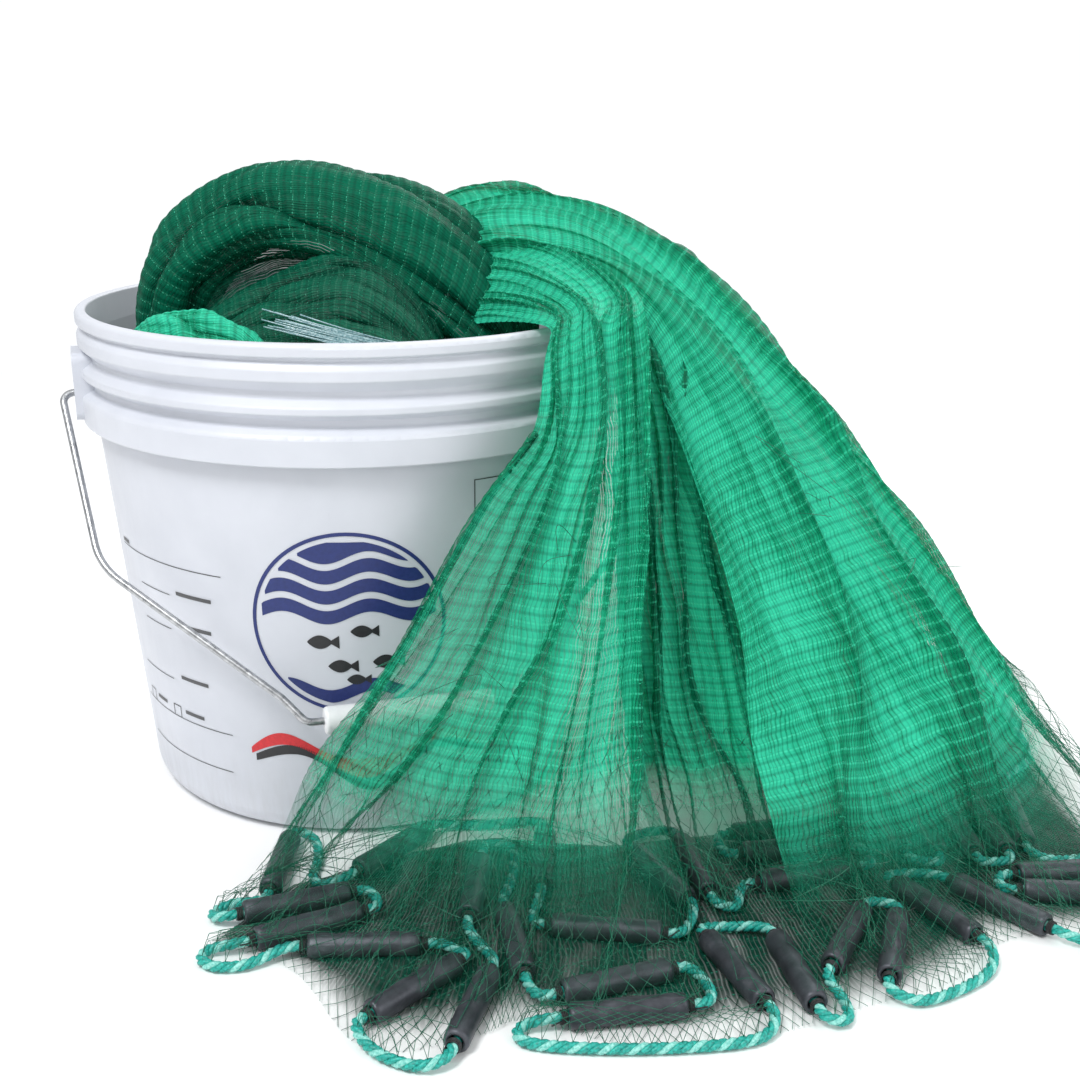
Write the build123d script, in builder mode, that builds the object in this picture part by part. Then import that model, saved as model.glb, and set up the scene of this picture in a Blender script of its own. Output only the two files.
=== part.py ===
from build123d import *
import os
from math import cos, pi, radians, sin

# A cast net kept in its pail: the netting spills over the rim and its leaded hem lies on the floor.
# Millimetres. The pail's axis is the Z axis and the floor is z = 0. +X is the side that the net spills to,
# and -Y is the front.

# Pail
PAIL_HEIGHT = 278.0
RIM_RADIUS = 152.5
BASE_RADIUS = 126.5
WALL = 2.3
BASE_CORNER = 13.0
COLLAR_LOW = 217.0
NECK_RADIUS = 145.2
FLOOR_THICKNESS = 3.0
SKIRT_RADIUS = 153.0
SKIRT_GAP = 3.4
RING_RADIUS = 152.2
LOWER_RING = 245.0
UPPER_RING = 262.0
MOUTH_RADIUS = 146.4

# Bail, whose ears stand off the X axis by EAR_TURN about the pail's axis
EAR_TURN = 17.0
EAR_FACE = 156.0
EAR_WIDTH = 32.6
EAR_ROOT = 1.3
EAR_CORNER = 5.0
EAR_LOW = 219.0
EAR_HIGH = 256.0
PIVOT_HEIGHT = 232.0
PIVOT_DEPTH = 9.5
PIN_LENGTH = 8.5
BAIL_REST = 43.5
WIRE_DIAMETER = 4.0
RUNNING_CLEARANCE = 0.08
GRIP_LENGTH = 92.0
GRIP_DIAMETER = 15.0
GRIP_REACH = 208.0

# Leads and lead line
LEAD_LENGTH = 54.0
LEAD_DIAMETER = 12.4
LEAD_BORE = 6.8
LINE_DIAMETER = 5.6
LEAD_AXIS = LEAD_DIAMETER / 2
STUB = 11.0
SOFT_GAP = 0.6
HEM_THICKNESS = 11.0

# Horn and swivel, which lie on the stowed netting inside the pail
HORN_CENTRE = (2.0, 72.0, 229.5)
HORN_RADIUS = 27.0
HORN_BORE = 17.0
HORN_LENGTH = 36.0
SWIVEL_RADIUS = 6.5
SWIVEL_LENGTH = 22.0
SWIVEL_GAP = 24.0
PIN_RADIUS = 2.2
PIN_HEAD = 3.9
PIN_REACH = 4.2
EYE_WIRE = 1.6
EYE_RADIUS = 5.4
HORN_FLANGE = 4.5
LASHING_RADIUS = 1.4
LASHING_TURNS = 4
LASHING_PITCH = 3.1
BRAIL_DIAMETER = 9.0

# Netting
HEAP_LOW = 8.0
HEAP_TOP = 196.0
HEAP_RADIUS = 137.5
FLAP_FRONT = -200.0
FLAP_THICKNESS = 4.0

ear_axis = Vector(cos(radians(EAR_TURN)), sin(radians(EAR_TURN)), 0)
bail_front = Vector(sin(radians(EAR_TURN)), -cos(radians(EAR_TURN)), 0)
bail_down = bail_front * sin(radians(BAIL_REST)) - Vector(0, 0, 1) * cos(radians(BAIL_REST))
pivot_centre = Vector(0, 0, PIVOT_HEIGHT)

os.makedirs("parts", exist_ok=True)


def save(shape, name):
    """Labels one finished sub-part and writes its STEP file."""
    shape.label = name
    export_step(shape, f"parts/{name}.step")


def rounded_path(corners):
    """A path of straight runs and tangent arcs, each arc as large as its two runs allow."""
    points = [Vector(*corner) for corner in corners]
    radii = []
    for before, here, after in zip(points, points[1:], points[2:]):
        incoming = here - before
        outgoing = after - here
        half_turn = radians(incoming.get_angle(outgoing)) / 2
        radii.append(0.45 * min(incoming.length, outgoing.length) * cos(half_turn) / sin(half_turn))
    return FilletPolyline(*points, radius=radii), radii


# ---------------------------------------------------------------- pail
def wall_radius(height):
    """Outer radius of the tapered body at a height."""
    return BASE_RADIUS + (NECK_RADIUS - BASE_RADIUS) * height / COLLAR_LOW


def pail_corners():
    """Corners of the pail's section, from the axis out, up and back in: (radius, height, corner radius)."""
    neck = NECK_RADIUS + 1.0
    undercut = SKIRT_RADIUS - SKIRT_GAP
    outside = [
        (wall_radius(0), 0.0, BASE_CORNER),
        (wall_radius(COLLAR_LOW + 12), COLLAR_LOW + 12, 1.0),
        (undercut, COLLAR_LOW + 12, 1.0),
        (undercut, COLLAR_LOW, 0.8),
        (SKIRT_RADIUS - 0.4, COLLAR_LOW, 1.0),
        (SKIRT_RADIUS, COLLAR_LOW + 15.5, 3.0),
        (neck, COLLAR_LOW + 19.5, 1.2),
        (neck, LOWER_RING - 5.0, 1.2),
        (RING_RADIUS, LOWER_RING - 1.8, 1.2),
        (RING_RADIUS, LOWER_RING + 1.8, 1.6),
        (neck, LOWER_RING + 6.5, 1.2),
        (neck, UPPER_RING - 8.0, 1.2),
        (RING_RADIUS + 0.2, UPPER_RING - 2.5, 1.6),
        (RING_RADIUS + 0.2, UPPER_RING + 3.0, 2.4),
        (neck + 2.4, PAIL_HEIGHT - 8.0, 1.0),
        (RIM_RADIUS, PAIL_HEIGHT - 6.6, 1.2),
        (RIM_RADIUS, PAIL_HEIGHT, 2.6),
        (MOUTH_RADIUS, PAIL_HEIGHT, 1.4),
    ]
    inside = [
        (MOUTH_RADIUS - WALL + 0.1, UPPER_RING, 2.0),
        (wall_radius(COLLAR_LOW) - WALL, COLLAR_LOW, 2.0),
        (wall_radius(0) - WALL - 0.6, FLOOR_THICKNESS, BASE_CORNER - WALL),
    ]
    return outside + inside


with BuildPart() as pail:
    with BuildSketch(Plane.XZ):
        with BuildLine():
            corners = pail_corners()
            FilletPolyline(
                (0, 0),
                *[(radius, height) for radius, height, corner in corners],
                (0, FLOOR_THICKNESS),
                radius=[corner for radius, height, corner in corners],
            )
            Line((0, FLOOR_THICKNESS), (0, 0))
        make_face()
    revolve(axis=Axis.Z)
    # Two moulded ears carry the bail: a filled block on the collar, with a blind pivot hole.
    for side in (-1, 1):
        outward = ear_axis * side
        tangent = Vector(0, 0, 1).cross(outward)
        with BuildSketch(Plane(origin=outward * EAR_FACE, x_dir=tangent, z_dir=outward)):
            with Locations((0, (EAR_LOW + EAR_HIGH) / 2)):
                RectangleRounded(EAR_WIDTH, EAR_HIGH - EAR_LOW, EAR_CORNER)
        extrude(amount=-(EAR_FACE - NECK_RADIUS + EAR_ROOT))
    for side in (-1, 1):
        outward = ear_axis * side
        hole_plane = Plane(origin=outward * EAR_FACE + pivot_centre, z_dir=outward)
        with BuildSketch(hole_plane):
            Circle(WIRE_DIAMETER / 2 + RUNNING_CLEARANCE)
        extrude(amount=-PIVOT_DEPTH, mode=Mode.SUBTRACT)
save(pail.part, "pail")


# ---------------------------------------------------------------- bail
def bail_point(across, reach):
    """A point in the bail's plane: across the pail from its middle, and out from the pivot axis."""
    return pivot_centre + ear_axis * across + bail_down * reach


# Half of the bail from the pivot pin to the grip, as (across, reach, bend radius)
bail_half = [
    (163.0, 0.0, 6.0),
    (151.0, 108.0, 38.0),
    (66.0, 193.0, 16.0),
    (55.0, GRIP_REACH, 7.0),
]
bail_bends = bail_half + [(-across, reach, bend) for across, reach, bend in reversed(bail_half)]

with BuildPart() as bail_wire:
    with BuildLine() as bail_path:
        FilletPolyline(
            bail_point(EAR_FACE - PIN_LENGTH, 0),
            *[bail_point(across, reach) for across, reach, bend in bail_bends],
            bail_point(PIN_LENGTH - EAR_FACE, 0),
            radius=[bend for across, reach, bend in bail_bends],
        )
    with BuildSketch(Plane(origin=bail_path.line @ 0, z_dir=bail_path.line % 0)):
        Circle(WIRE_DIAMETER / 2)
    sweep()
save(bail_wire.part, "bail_wire")

with BuildPart() as bail_grip:
    with BuildSketch(Plane(origin=bail_point(-GRIP_LENGTH / 2, GRIP_REACH), z_dir=ear_axis)):
        Circle(GRIP_DIAMETER / 2)
        Circle(WIRE_DIAMETER / 2 + RUNNING_CLEARANCE, mode=Mode.SUBTRACT)
    extrude(amount=GRIP_LENGTH)
    fillet(bail_grip.edges().filter_by(GeomType.CIRCLE).sort_by(SortBy.RADIUS)[-2:], 2.2)
save(bail_grip.part, "bail_grip")


# ---------------------------------------------------------------- lead line and leads
# The lead line is one ring of rope, gathered in folds on the floor. Its route lists what the rope passes,
# in order: a lead as (start x, start y, heading), with the stub lengths before and after it if they are not
# STUB, or a bend as (x, y). Headings are degrees from +X.
LINE_ROUTE = [
    # outer folds, from the right-hand side round the front to the left
    (383, -84, -96.3), (388, -154), (416, -146), (434, -154),
    (416, -166, 186.3),
    (360, -188, -4.2), (428, -210), (412, -226), (385, -235),
    (362, -222, 130.5), (304, -166.5),
    (297, -184, -60), (326, -256), (306, -272), (284, -283),
    (274, -266, 73),
    (273, -209, -116.6), (251, -282), (250, -297),
    (236, -288, 100.7), (203, -220),
    (193, -236, -68.2), (213, -307), (196, -314), (150, -318), (112, -316), (101, -311), (102, -302),
    (124, -299, 9.6), (191, -274),
    (172, -262, 200.4),
    (104, -265, 100.7), (96, -182), (98, -160), (97, -140), (81, -138),
    (80, -163, -94.2), (84, -241),
    (88, -266, -104), (60, -332), (40, -322),
    (36, -298, 48, STUB, 9), (70, -242),
    (54, -242, 183), (-26, -257), (-42, -259), (-51, -252), (-48, -243),
    (-26, -239, 27.5),
    (14, -196, 201.8), (-54, -214), (-47, -202),
    (-27, -194, 88, STUB, 9), (-12, -133), (-7, -158), (-9, -174), (-3, -186),
    # inner folds, back to the right between the outer ones and the pail
    (16, -173, 53.6), (62, -118), (84, -117), (104, -112),
    (114, -132, -92), (107, -213),
    (117, -225, -6.5, 7, 7), (185, -222),
    (186, -199, 116.4, 8, STUB), (164, -127), (177, -122),
    (188, -140, -79.3), (212, -204),
    (225, -182, 16.6), (290, -152),
    (274, -143, 189.6),
    (218, -131, 11.7), (285, -102), (292, -88), (288, -71), (303, -70),
    (304, -94, -85),
    (326, -150, 90),
    (344, -96, -88),
    (364, -147, 94),
    # folds at the back right, under the netting
    (356, -58, 93, STUB, 6),
    (355, 14, 86, 6, 6),
    (357, 86, 92, 6, STUB),
    (377, 140, -92, STUB, 6),
    (377, 68, -86, 6, STUB),
    (398, 14, 88, STUB, 6),
    (397, 86, 93, 6, STUB),
    (416, 140, -88, STUB, 6),
    (420, 68, -93, 6, STUB), (418, -12), (410, -36), (392, -50),
]


def lead_ends(entry):
    """Start and end of one lead on its own axis, and its direction."""
    heading = Vector(cos(radians(entry[2])), sin(radians(entry[2])), 0)
    start = Vector(entry[0], entry[1], LEAD_AXIS)
    return start, start + heading * LEAD_LENGTH, heading


def line_corners(route):
    """The rope's corners: each bend, and the ends of the straight stretch through each lead."""
    corners = []
    for entry in route:
        if len(entry) == 2:
            corners.append(Vector(entry[0], entry[1], LEAD_AXIS))
            continue
        before, after = entry[3:] if len(entry) == 5 else (STUB, STUB)
        start, end, heading = lead_ends(entry)
        corners.append(start - heading * before)
        corners.append(end + heading * after)
    return corners


lead_entries = [entry for entry in LINE_ROUTE if len(entry) > 2]
line_points = line_corners(LINE_ROUTE)
ring_start = line_points[0]
splice_end = line_points[-1] + (ring_start - line_points[-1]) * 0.7
line_points.append(splice_end)

with BuildPart() as lead_line:
    with BuildLine() as line_path:
        path, line_radii = rounded_path(line_points)
    with BuildSketch(Plane(origin=line_path.line @ 0, z_dir=line_path.line % 0)):
        Circle(LINE_DIAMETER / 2)
    sweep(transition=Transition.RIGHT)
save(lead_line.part, "lead_line")
section_area = pi * LINE_DIAMETER**2 / 4
full_share = lead_line.part.volume / section_area / path.length
print(f"lead line {path.length:.0f} mm, tightest bend {min(line_radii):.1f}, volume share {full_share:.4f}")

with BuildPart() as lead_blank:
    with BuildSketch():
        Circle(LEAD_DIAMETER / 2)
        Circle(LEAD_BORE / 2, mode=Mode.SUBTRACT)
    extrude(amount=LEAD_LENGTH)
    chamfer(lead_blank.edges().filter_by(GeomType.CIRCLE).group_by(SortBy.RADIUS)[-1], length=0.9)

for number, entry in enumerate(lead_entries, start=1):
    start, end, heading = lead_ends(entry)
    lead = Plane(origin=start, z_dir=heading).location * lead_blank.part
    save(lead, f"lead_{number:02d}")


# ---------------------------------------------------------------- horn and swivel
# The horn is the ring that gathers the top of the net. It lies on its side, its axis along X.
with BuildPart() as horn:
    with BuildSketch(Plane(origin=HORN_CENTRE, x_dir=(1, 0, 0), z_dir=(0, -1, 0))):
        with BuildLine():
            half = HORN_LENGTH / 2
            Polyline(
                (-half, HORN_BORE + 3),
                (-half, HORN_RADIUS),
                (-half + 5, HORN_RADIUS),
                (-half + 8, HORN_RADIUS - HORN_FLANGE),
                (half - 8, HORN_RADIUS - HORN_FLANGE),
                (half - 5, HORN_RADIUS),
                (half, HORN_RADIUS),
                (half, HORN_BORE + 3),
                (half - 4, HORN_BORE),
                (-half + 4, HORN_BORE),
                close=True,
            )
        make_face()
    revolve(axis=Axis(HORN_CENTRE, (1, 0, 0)))
    fillet(horn.edges().filter_by(GeomType.CIRCLE).group_by(SortBy.RADIUS)[-1], 1.2)
save(horn.part, "horn")

# Twine that lashes the netting into the horn's groove.
with BuildPart() as horn_lashing:
    for turn in range(LASHING_TURNS):
        shift = Vector((turn - (LASHING_TURNS - 1) / 2) * LASHING_PITCH, 0, 0)
        with BuildSketch(Plane(origin=Vector(*HORN_CENTRE) + shift, x_dir=(1, 0, 0), z_dir=(0, -1, 0))):
            with Locations((0, HORN_RADIUS - HORN_FLANGE + LASHING_RADIUS + 0.1)):
                Circle(LASHING_RADIUS)
        revolve(axis=Axis(HORN_CENTRE, (1, 0, 0)))
save(horn_lashing.part, "horn_lashing")

# The barrel swivel stands off the horn's mouth, on the horn's axis. Each eye turns on a headed pin.
barrel_start = Vector(*HORN_CENTRE) - Vector(HORN_LENGTH / 2 + SWIVEL_GAP + SWIVEL_LENGTH, 0, 0)
barrel_end = barrel_start + Vector(SWIVEL_LENGTH, 0, 0)
with BuildPart() as swivel_barrel:
    with BuildSketch(Plane(origin=barrel_start, x_dir=(1, 0, 0), z_dir=(0, -1, 0))):
        with BuildLine():
            Polyline(
                (0, PIN_RADIUS + RUNNING_CLEARANCE),
                (0, 4.0),
                (3, SWIVEL_RADIUS),
                (SWIVEL_LENGTH - 3, SWIVEL_RADIUS),
                (SWIVEL_LENGTH, 4.0),
                (SWIVEL_LENGTH, PIN_RADIUS + RUNNING_CLEARANCE),
                (SWIVEL_LENGTH - 3.2, PIN_RADIUS + RUNNING_CLEARANCE),
                (SWIVEL_LENGTH - 3.2, 4.6),
                (3.2, 4.6),
                (3.2, PIN_RADIUS + RUNNING_CLEARANCE),
                close=True,
            )
        make_face()
    revolve(axis=Axis(barrel_start, (1, 0, 0)))
save(swivel_barrel.part, "swivel_barrel")


def swivel_eye(mouth, direction, name):
    """A headed pin that turns in one end of the barrel, with a wire eye outside it."""
    axis = Axis(mouth, direction)
    with BuildPart() as eye:
        with BuildSketch(Plane(origin=mouth, x_dir=direction, z_dir=(0, -1, 0))):
            with BuildLine():
                Polyline(
                    (-7, 0),
                    (-7, PIN_HEAD),
                    (-3.6, PIN_HEAD),
                    (-3.6, PIN_RADIUS),
                    (PIN_REACH, PIN_RADIUS),
                    (PIN_REACH, 0),
                    close=True,
                )
            make_face()
        revolve(axis=axis)
        centre = mouth + direction * (PIN_REACH + EYE_RADIUS)
        with BuildSketch(Plane(origin=centre, x_dir=direction, z_dir=(0, 0, 1))):
            Circle(EYE_RADIUS + EYE_WIRE)
            Circle(EYE_RADIUS - EYE_WIRE, mode=Mode.SUBTRACT)
        extrude(amount=EYE_WIRE, both=True)
        fillet(eye.edges().filter_by(GeomType.CIRCLE).filter_by(Plane.XY).sort_by(SortBy.RADIUS)[-2:], 0.5)
    save(eye.part, name)


swivel_eye(barrel_start, Vector(-1, 0, 0), "swivel_line_eye")
swivel_eye(barrel_end, Vector(1, 0, 0), "swivel_brail_eye")

# Brail lines: the bundle runs from the swivel through the horn and over the stowed net to the front.
brail_start = barrel_end + Vector(PIN_REACH + 2 * EYE_RADIUS + EYE_WIRE + SOFT_GAP, 0, 0)
brail_corners = [
    brail_start,
    Vector(18, 72, 229.5),
    Vector(62, 66, 232),
    Vector(88, 36, 238),
    Vector(96, -8, 246),
    Vector(88, -54, 254),
    Vector(68, -92, 262),
    Vector(38, -116, 269),
    Vector(4, -118, 277),
    Vector(-28, -108, 284),
]
with BuildPart() as brail_lines:
    with BuildLine() as brail_path:
        path, brail_radii = rounded_path(brail_corners)
    with BuildSketch(Plane(origin=brail_path.line @ 0, z_dir=brail_path.line % 0)):
        Circle(BRAIL_DIAMETER / 2)
    sweep()
save(brail_lines.part, "brail_lines")
print(f"brail bundle {path.length:.0f} mm, tightest bend {min(brail_radii):.0f}")


# ---------------------------------------------------------------- netting
def soft_body(stations):
    """A soft solid lofted through ellipses, each (centre, direction, side, half width, half thickness)."""
    with BuildPart() as body:
        for centre, direction, side, half_width, half_thickness in stations:
            with BuildSketch(Plane(origin=centre, x_dir=side, z_dir=direction)):
                Ellipse(half_width, half_thickness)
        loft()
    return body.part


across = Vector(0, 1, 0)

# The stowed netting fills the pail up to its top folds.
with BuildPart() as net_heap:
    with BuildSketch(Plane.XZ):
        with BuildLine():
            Polyline(
                (0, HEAP_LOW),
                (112, HEAP_LOW),
                (121, HEAP_LOW + 10),
                (HEAP_RADIUS, HEAP_TOP - 12),
                (HEAP_RADIUS - 9.5, HEAP_TOP),
                (0, HEAP_TOP),
                close=True,
            )
        make_face()
    revolve(axis=Axis.Z)
save(net_heap.part, "net_heap")

net_crown = soft_body([
    (Vector(-96, 2, 199), Vector(0, 0, 1), across, 44, 26),
    (Vector(-95, 2, 258), Vector(0.1, 0, 1), across, 48, 27),
    (Vector(-74, 0, 304), Vector(0.7, 0, 0.75), across, 50, 27),
    (Vector(-22, -4, 331), Vector(1, 0, 0.12), across, 52, 28),
    (Vector(48, -12, 327), Vector(1, -0.05, -0.08), across, 54, 27),
    (Vector(96, -20, 318), Vector(1, -0.1, -0.3), across, 58, 23),
])
save(net_crown, "net_crown")

net_inner_fold = soft_body([
    (Vector(-62, -66, 229), Vector(1, 0, 0.25), across, 34, 27),
    (Vector(-20, -66, 246), Vector(1, 0, 0.15), across, 42, 44),
    (Vector(28, -66, 245), Vector(1, 0, -0.15), across, 42, 42),
    (Vector(66, -66, 229), Vector(1, 0, -0.2), across, 34, 26),
])
save(net_inner_fold, "net_inner_fold")

net_rim_tuft = soft_body([
    (Vector(-104, -78, 262), Vector(0.55, -0.83, 0), Vector(0.83, 0.55, 0), 8, 9),
    (Vector(-84, -99, 264), Vector(0.75, -0.66, 0), Vector(0.66, 0.75, 0), 11, 15),
    (Vector(-54, -120, 262), Vector(0.92, -0.38, 0), Vector(0.38, 0.92, 0), 8, 13),
])
save(net_rim_tuft, "net_rim_tuft")

net_right_fall = soft_body([
    (Vector(104, -22, 315), Vector(1, -0.1, -0.35), across, 60, 22),
    (Vector(150, -30, 302), Vector(1, -0.1, -0.35), across, 66, 15),
    (Vector(214, -42, 262), Vector(0.75, -0.1, -0.65), across, 78, 18),
    (Vector(290, -50, 184), Vector(0.68, -0.08, -0.72), across, 96, 18),
    (Vector(352, -46, 110), Vector(0.64, 0.05, -0.76), across, 116, 18),
    (Vector(388, -36, 52), Vector(0.45, 0.05, -0.9), across, 136, 20),
])
save(net_right_fall, "net_right_fall")

net_front_fall = soft_body([
    (Vector(132, -117, 293), Vector(0.2, -0.5, -0.8), Vector(0.88, 0.46, 0), 21, 8),
    (Vector(142, -138, 266), Vector(0.1, -0.35, -0.9), Vector(0.9, 0.42, 0), 24, 10),
    (Vector(144, -160, 200), Vector(-0.02, -0.28, -1), Vector(0.96, 0.25, 0), 34, 12),
    (Vector(128, -186, 120), Vector(-0.18, -0.26, -1), Vector(1, 0.12, 0), 54, 13),
    (Vector(108, -206, 62), Vector(-0.25, -0.4, -0.9), Vector(1, 0.04, 0), 84, 12),
    (Vector(102, -218, 42), Vector(0, -0.3, -0.95), Vector(1, 0.02, 0), 104, 9),
])
save(net_front_fall, "net_front_fall")

# The single-layer flap beside the front fall, as (x, z) corners of a thin upright panel.
flap_corners = [
    (100, 214),
    (52, 140),
    (14, 92),
    (-5, 55),
    (-18, 26),
    (-6, 26),
    (14, 66),
    (44, 112),
    (70, 150),
    (98, 198),
]
with BuildPart() as net_left_flap:
    with BuildSketch(Plane.XZ.offset(-FLAP_FRONT)):
        with BuildLine():
            Polyline(*flap_corners, close=True)
        make_face()
    extrude(amount=-FLAP_THICKNESS)
save(net_left_flap.part, "net_left_flap")


def hem_panel(outline, name):
    """A low pad of gathered hem netting that lies on the leads, from its plan outline."""
    with BuildPart() as panel:
        with BuildSketch(Plane.XY.offset(LEAD_DIAMETER + SOFT_GAP)):
            with BuildLine():
                Polyline(*outline, close=True)
            make_face()
        extrude(amount=HEM_THICKNESS)
    save(panel.part, name)


hem_outlines = {
    "net_hem_front": [
        (-40, -236),
        (-44, -204),
        (-8, -172),
        (96, -154),
        (206, -140),
        (214, -196),
        (206, -280),
        (96, -280),
        (40, -284),
    ],
    "net_hem_right": [
        (218, -196),
        (212, -130),
        (300, -84),
        (412, -110),
        (432, -176),
        (330, -232),
        (228, -268),
    ],
    "net_hem_back": [
        (330, -78),
        (330, 120),
        (372, 150),
        (436, 140),
        (436, -84),
        (404, -100),
    ],
}
for hem_name, outline in hem_outlines.items():
    hem_panel(outline, hem_name)
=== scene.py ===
from math import cos, pi, radians, sin

import bpy
import numpy as np
from mathutils import Matrix, Vector


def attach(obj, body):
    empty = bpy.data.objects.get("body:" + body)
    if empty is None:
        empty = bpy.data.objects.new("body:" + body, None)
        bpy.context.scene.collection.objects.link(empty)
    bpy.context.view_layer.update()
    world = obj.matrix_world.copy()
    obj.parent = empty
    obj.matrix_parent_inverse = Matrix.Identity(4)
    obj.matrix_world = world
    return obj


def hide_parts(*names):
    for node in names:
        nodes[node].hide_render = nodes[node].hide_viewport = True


MM = 0.001
UP = (0, 0, 1.0)
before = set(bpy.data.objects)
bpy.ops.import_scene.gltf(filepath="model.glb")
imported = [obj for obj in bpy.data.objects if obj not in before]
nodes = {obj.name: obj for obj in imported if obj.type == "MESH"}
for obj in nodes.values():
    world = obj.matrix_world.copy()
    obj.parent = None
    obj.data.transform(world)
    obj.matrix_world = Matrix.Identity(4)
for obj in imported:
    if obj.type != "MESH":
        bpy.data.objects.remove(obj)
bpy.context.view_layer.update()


# ---------------------------------------------------------------- camera, floor and light
LENS = 48.5
LENS_SHIFT = (0.0015, 0.054)
EYE = (0.1093, -0.845, 0.3974)
LOOK_DOWN, LEAN = 0.342, 0.008
FLOOR_REACH = 1.5
FLOOR_MIDDLE = (0.14, -0.06, -0.0002)
FLOOR_CORNERS = 96


def make_camera():
    """The photograph's viewpoint: a little above the rim, looking down at the pail and the leads."""
    data = bpy.data.cameras.new("camera")
    data.sensor_width = 36
    data.lens = LENS
    data.shift_x, data.shift_y = LENS_SHIFT
    camera = bpy.data.objects.new("camera", data)
    tilt = Matrix.Rotation(pi / 2 - LOOK_DOWN, 4, "X") @ Matrix.Rotation(LEAN, 4, "Z")
    camera.matrix_world = Matrix.Translation(EYE) @ tilt
    bpy.context.collection.objects.link(camera)
    bpy.context.scene.camera = camera


def area_light(name, place, target, size, power, colour=(1, 1, 1)):
    data = bpy.data.lights.new(name, "AREA")
    data.size = size
    data.energy = power
    data.color = colour
    light = bpy.data.objects.new(name, data)
    light.location = place
    light.rotation_euler = (Vector(target) - Vector(place)).to_track_quat("-Z", "Y").to_euler()
    bpy.context.collection.objects.link(light)


def make_world(seen, felt):
    """A plain white surround: `seen` is its brightness behind the object, `felt` its light on the object."""
    world = bpy.data.worlds.new("studio")
    bpy.context.scene.world = world
    world.use_nodes = True
    tree = world.node_tree
    sky = tree.nodes["Background"]
    sky.inputs["Color"].default_value = (0.97, 0.985, 1.0, 1)
    path = tree.nodes.new("ShaderNodeLightPath")
    level = tree.nodes.new("ShaderNodeMapRange")
    level.inputs["To Min"].default_value = felt
    level.inputs["To Max"].default_value = seen
    tree.links.new(path.outputs["Is Camera Ray"], level.inputs["Value"])
    tree.links.new(level.outputs["Result"], sky.inputs["Strength"])


def make_floor(reach):
    """A round pale floor under the object."""
    mesh = bpy.data.meshes.new("floor")
    turns = np.linspace(0, 2 * pi, FLOOR_CORNERS, endpoint=False)
    corners = [(reach * cos(turn), reach * sin(turn), 0) for turn in turns]
    mesh.from_pydata(corners, [], [tuple(range(FLOOR_CORNERS))])
    floor = bpy.data.objects.new("floor", mesh)
    floor.location = FLOOR_MIDDLE
    bpy.context.collection.objects.link(floor)
    paint = bpy.data.materials.new("floor")
    paint.use_nodes = True
    shader = paint.node_tree.nodes["Principled BSDF"]
    shader.inputs["Base Color"].default_value = (0.95, 0.95, 0.95, 1)
    shader.inputs["Roughness"].default_value = 0.7
    mesh.materials.append(paint)


def make_studio():
    """Soft light from all round, with a broad key light from the upper left."""
    bpy.context.scene.view_settings.view_transform = "Standard"
    make_world(seen=1.05, felt=0.62)
    make_floor(FLOOR_REACH)
    area_light("key", (-0.55, -1.0, 1.7), (0.1, -0.05, 0.15), 0.6, 25)
    area_light("fill", (1.5, -0.9, 1.0), (0.15, -0.05, 0.1), 1.0, 9)
    area_light("rim_light", (0.6, 1.3, 1.5), (0.1, 0, 0.2), 1.4, 20)


make_camera()
make_studio()


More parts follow.
